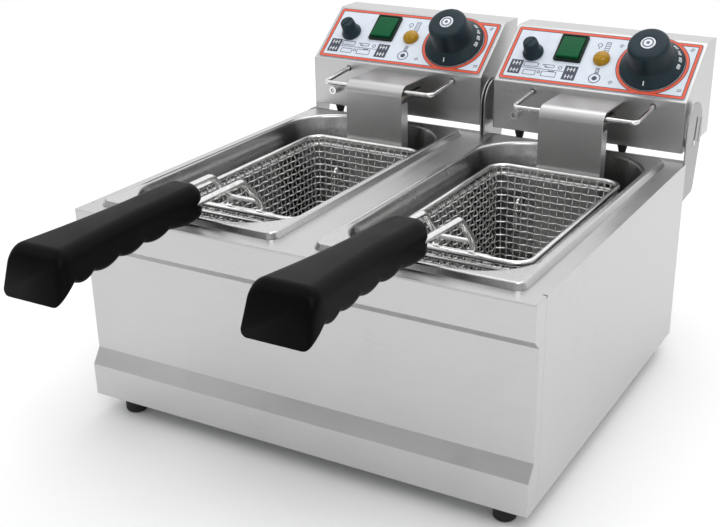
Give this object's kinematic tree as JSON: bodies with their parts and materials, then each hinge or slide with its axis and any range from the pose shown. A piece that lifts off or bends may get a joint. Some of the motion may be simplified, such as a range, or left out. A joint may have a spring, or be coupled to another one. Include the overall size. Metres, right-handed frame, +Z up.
{
  "type": "deep fryer",
  "caption": "Twin-tank countertop deep fryer: sheet-steel casing, drop-in oil tanks, tilting control heads with dials and switches, and lift-out wire baskets with handles.",
  "frame": {"origin": "middle of the footprint's bounding box, at the level of the worktop under the feet", "axes": "+X to the right seen from the front, +Y from the handles back to the control heads, +Z up"},
  "size_m": [0.373, 0.556, 0.2766],
  "materials": {
    "brushed_sheet": "brushed, satin",
    "plain_sheet": "mill finish",
    "drawn_steel": "satin, deep drawn",
    "bright_wire": "bright nickel plated",
    "element_tube": "heat-darkened",
    "screw_steel": "zinc plated",
    "black_rubber": "matte",
    "dark_moulding": "fine moulded texture",
    "black_gloss": "gloss",
    "green_rocker": "translucent gloss",
    "amber_lens": "translucent gloss",
    "panel_print": "satin film"
  },
  "bodies": {
    "casing_body": {"casing": "brushed_sheet", "front_panel": "brushed_sheet", "back_panel": "plain_sheet", "base_plate": "plain_sheet", "rubber_feet": "black_rubber", "casing_screws": "screw_steel", "left_tank": "drawn_steel", "right_tank": "drawn_steel", "left_head_bracket": "brushed_sheet", "right_head_bracket": "brushed_sheet"},
    "left_pins": {"left_pivot_pins": "bright_wire"},
    "left_head": {"left_head_shell": "brushed_sheet", "left_head_cover": "brushed_sheet", "left_label_panel": "panel_print", "left_element_guard": "brushed_sheet", "left_heating_element": "element_tube", "left_thermostat_bulb": "bright_wire", "left_hanger_rod": "bright_wire", "left_thermostat": "dark_moulding", "left_timer": "dark_moulding", "left_switch_housing": "black_gloss", "left_indicator_lamp": "amber_lens", "left_reset_switch": "bright_wire", "left_head_bumpers": "black_rubber", "left_cord_gland": "dark_moulding", "left_head_screws": "screw_steel"},
    "left_dial": {"left_thermostat_dial": "dark_moulding"},
    "left_timer_knob": {"left_timer_knob": "dark_moulding"},
    "left_rocker": {"left_rocker": "green_rocker"},
    "left_reset": {"left_reset_button": "black_gloss"},
    "left_basket": {"left_basket_mesh": "bright_wire", "left_basket_rim": "bright_wire", "left_basket_wires": "bright_wire"},
    "left_handle": {"left_handle_wires": "bright_wire", "left_handle_grip": "dark_moulding"},
    "right_pins": {"right_pivot_pins": "bright_wire"},
    "right_head": {"right_head_shell": "brushed_sheet", "right_head_cover": "brushed_sheet", "right_label_panel": "panel_print", "right_element_guard": "brushed_sheet", "right_heating_element": "element_tube", "right_thermostat_bulb": "bright_wire", "right_hanger_rod": "bright_wire", "right_thermostat": "dark_moulding", "right_timer": "dark_moulding", "right_switch_housing": "black_gloss", "right_indicator_lamp": "amber_lens", "right_reset_switch": "bright_wire", "right_head_bumpers": "black_rubber", "right_cord_gland": "dark_moulding", "right_head_screws": "screw_steel"},
    "right_dial": {"right_thermostat_dial": "dark_moulding"},
    "right_timer_knob": {"right_timer_knob": "dark_moulding"},
    "right_rocker": {"right_rocker": "green_rocker"},
    "right_reset": {"right_reset_button": "black_gloss"},
    "right_basket": {"right_basket_mesh": "bright_wire", "right_basket_rim": "bright_wire", "right_basket_wires": "bright_wire"},
    "right_handle": {"right_handle_wires": "bright_wire", "right_handle_grip": "dark_moulding"}
  },
  "joints": [
    {"name": "left_head_lift", "type": "slide", "parent": "casing_body", "child": "left_pins", "axis": [0, 0.225, 0.9744], "range_m": [0, 0.02]},
    {"name": "left_head_tilt", "type": "hinge", "parent": "left_pins", "child": "left_head", "pos_m": [-0.0935, 0.204, 0.1866], "axis": [-1, 0, 0], "range_deg": [0, 80]},
    {"name": "left_thermostat_turn", "type": "hinge", "parent": "left_head", "child": "left_dial", "pos_m": [-0.0461, 0.21758, 0.24422], "axis": [0, 0.6097, -0.7926], "range_deg": [0, 290]},
    {"name": "left_timer_turn", "type": "hinge", "parent": "left_head", "child": "left_timer_knob", "pos_m": [-0.1547, 0.21679, 0.24361], "axis": [0, 0.6097, -0.7926], "range_deg": [0, 270]},
    {"name": "left_rocker_tip", "type": "hinge", "parent": "left_head", "child": "left_rocker", "pos_m": [-0.1219, 0.22546, 0.24775], "axis": [1, 0, 0], "range_deg": [0, 9]},
    {"name": "left_reset_press", "type": "slide", "parent": "left_head", "child": "left_reset", "axis": [0, 1, 0], "range_m": [0, 0.0025], "stiffness_N_per_m": 300, "springref_m": -0.002},
    {"name": "left_basket_lift", "type": "slide", "parent": "left_head", "child": "left_basket", "axis": [0, -0.1736, 0.9848], "range_m": [0, 0.13]},
    {"name": "left_handle_fold", "type": "hinge", "parent": "left_basket", "child": "left_handle", "pos_m": [-0.0935, -0.051, 0.16], "axis": [-1, 0, 0], "range_deg": [0, 110]},
    {"name": "right_head_lift", "type": "slide", "parent": "casing_body", "child": "right_pins", "axis": [0, 0.225, 0.9744], "range_m": [0, 0.02]},
    {"name": "right_head_tilt", "type": "hinge", "parent": "right_pins", "child": "right_head", "pos_m": [0.0935, 0.204, 0.1866], "axis": [-1, 0, 0], "range_deg": [0, 80]},
    {"name": "right_thermostat_turn", "type": "hinge", "parent": "right_head", "child": "right_dial", "pos_m": [0.1409, 0.21758, 0.24422], "axis": [0, 0.6097, -0.7926], "range_deg": [0, 290]},
    {"name": "right_timer_turn", "type": "hinge", "parent": "right_head", "child": "right_timer_knob", "pos_m": [0.0323, 0.21679, 0.24361], "axis": [0, 0.6097, -0.7926], "range_deg": [0, 270]},
    {"name": "right_rocker_tip", "type": "hinge", "parent": "right_head", "child": "right_rocker", "pos_m": [0.0651, 0.22546, 0.24775], "axis": [1, 0, 0], "range_deg": [0, 9]},
    {"name": "right_reset_press", "type": "slide", "parent": "right_head", "child": "right_reset", "axis": [0, 1, 0], "range_m": [0, 0.0025], "stiffness_N_per_m": 300, "springref_m": -0.002},
    {"name": "right_basket_lift", "type": "slide", "parent": "right_head", "child": "right_basket", "axis": [0, -0.1736, 0.9848], "range_m": [0, 0.13]},
    {"name": "right_handle_fold", "type": "hinge", "parent": "right_basket", "child": "right_handle", "pos_m": [0.0905, -0.051, 0.16], "axis": [-1, 0, 0], "range_deg": [-3.1, 106.9]}
  ]
}
